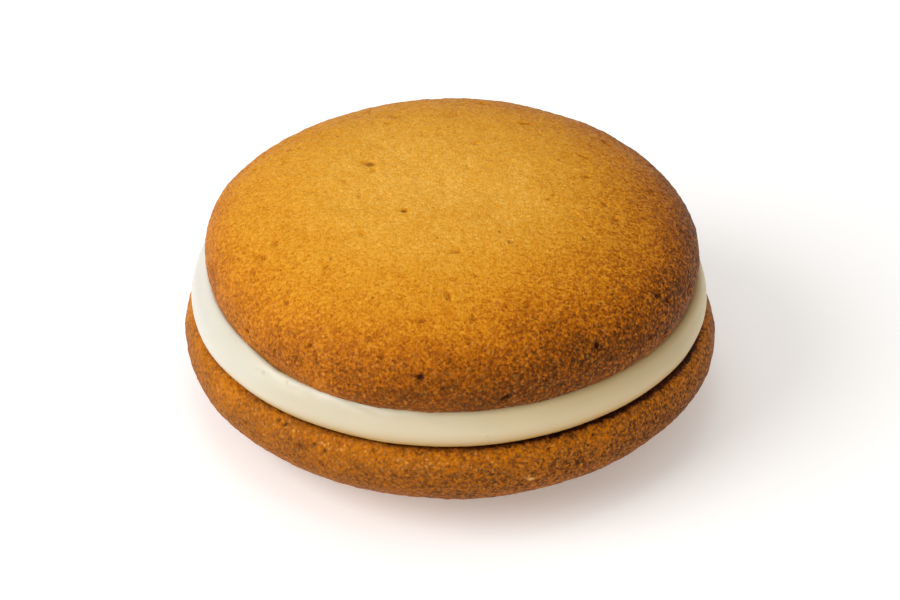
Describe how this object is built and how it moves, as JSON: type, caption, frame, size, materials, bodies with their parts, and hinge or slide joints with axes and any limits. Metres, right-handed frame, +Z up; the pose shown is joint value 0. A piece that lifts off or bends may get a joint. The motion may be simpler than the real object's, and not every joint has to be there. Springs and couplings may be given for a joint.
{
  "type": "sandwich cookie",
  "caption": "Sandwich cookie: soft domed golden cookies back to back, with a thick layer of pale vanilla cream between their flat faces.",
  "frame": {"origin": "centre of the small flat spot, in the middle of the lower cookie's dome, that the cookie rests on", "axes": "+Z up through the lower cookie, the cream and the upper cookie; -Y towards the viewer of the picture; +X to the viewer's right"},
  "size_m": [0.0867, 0.0845, 0.0396],
  "materials": {
    "golden_crust": "baked crust: matte, finely pitted, golden on top and browner towards the edges",
    "vanilla_cream": "whipped cream filling: smooth, soft, faintly satin"
  },
  "bodies": {
    "root": {"lower_cookie": "golden_crust", "cream_filling": "vanilla_cream", "upper_cookie": "golden_crust"}
  },
  "joints": []
}
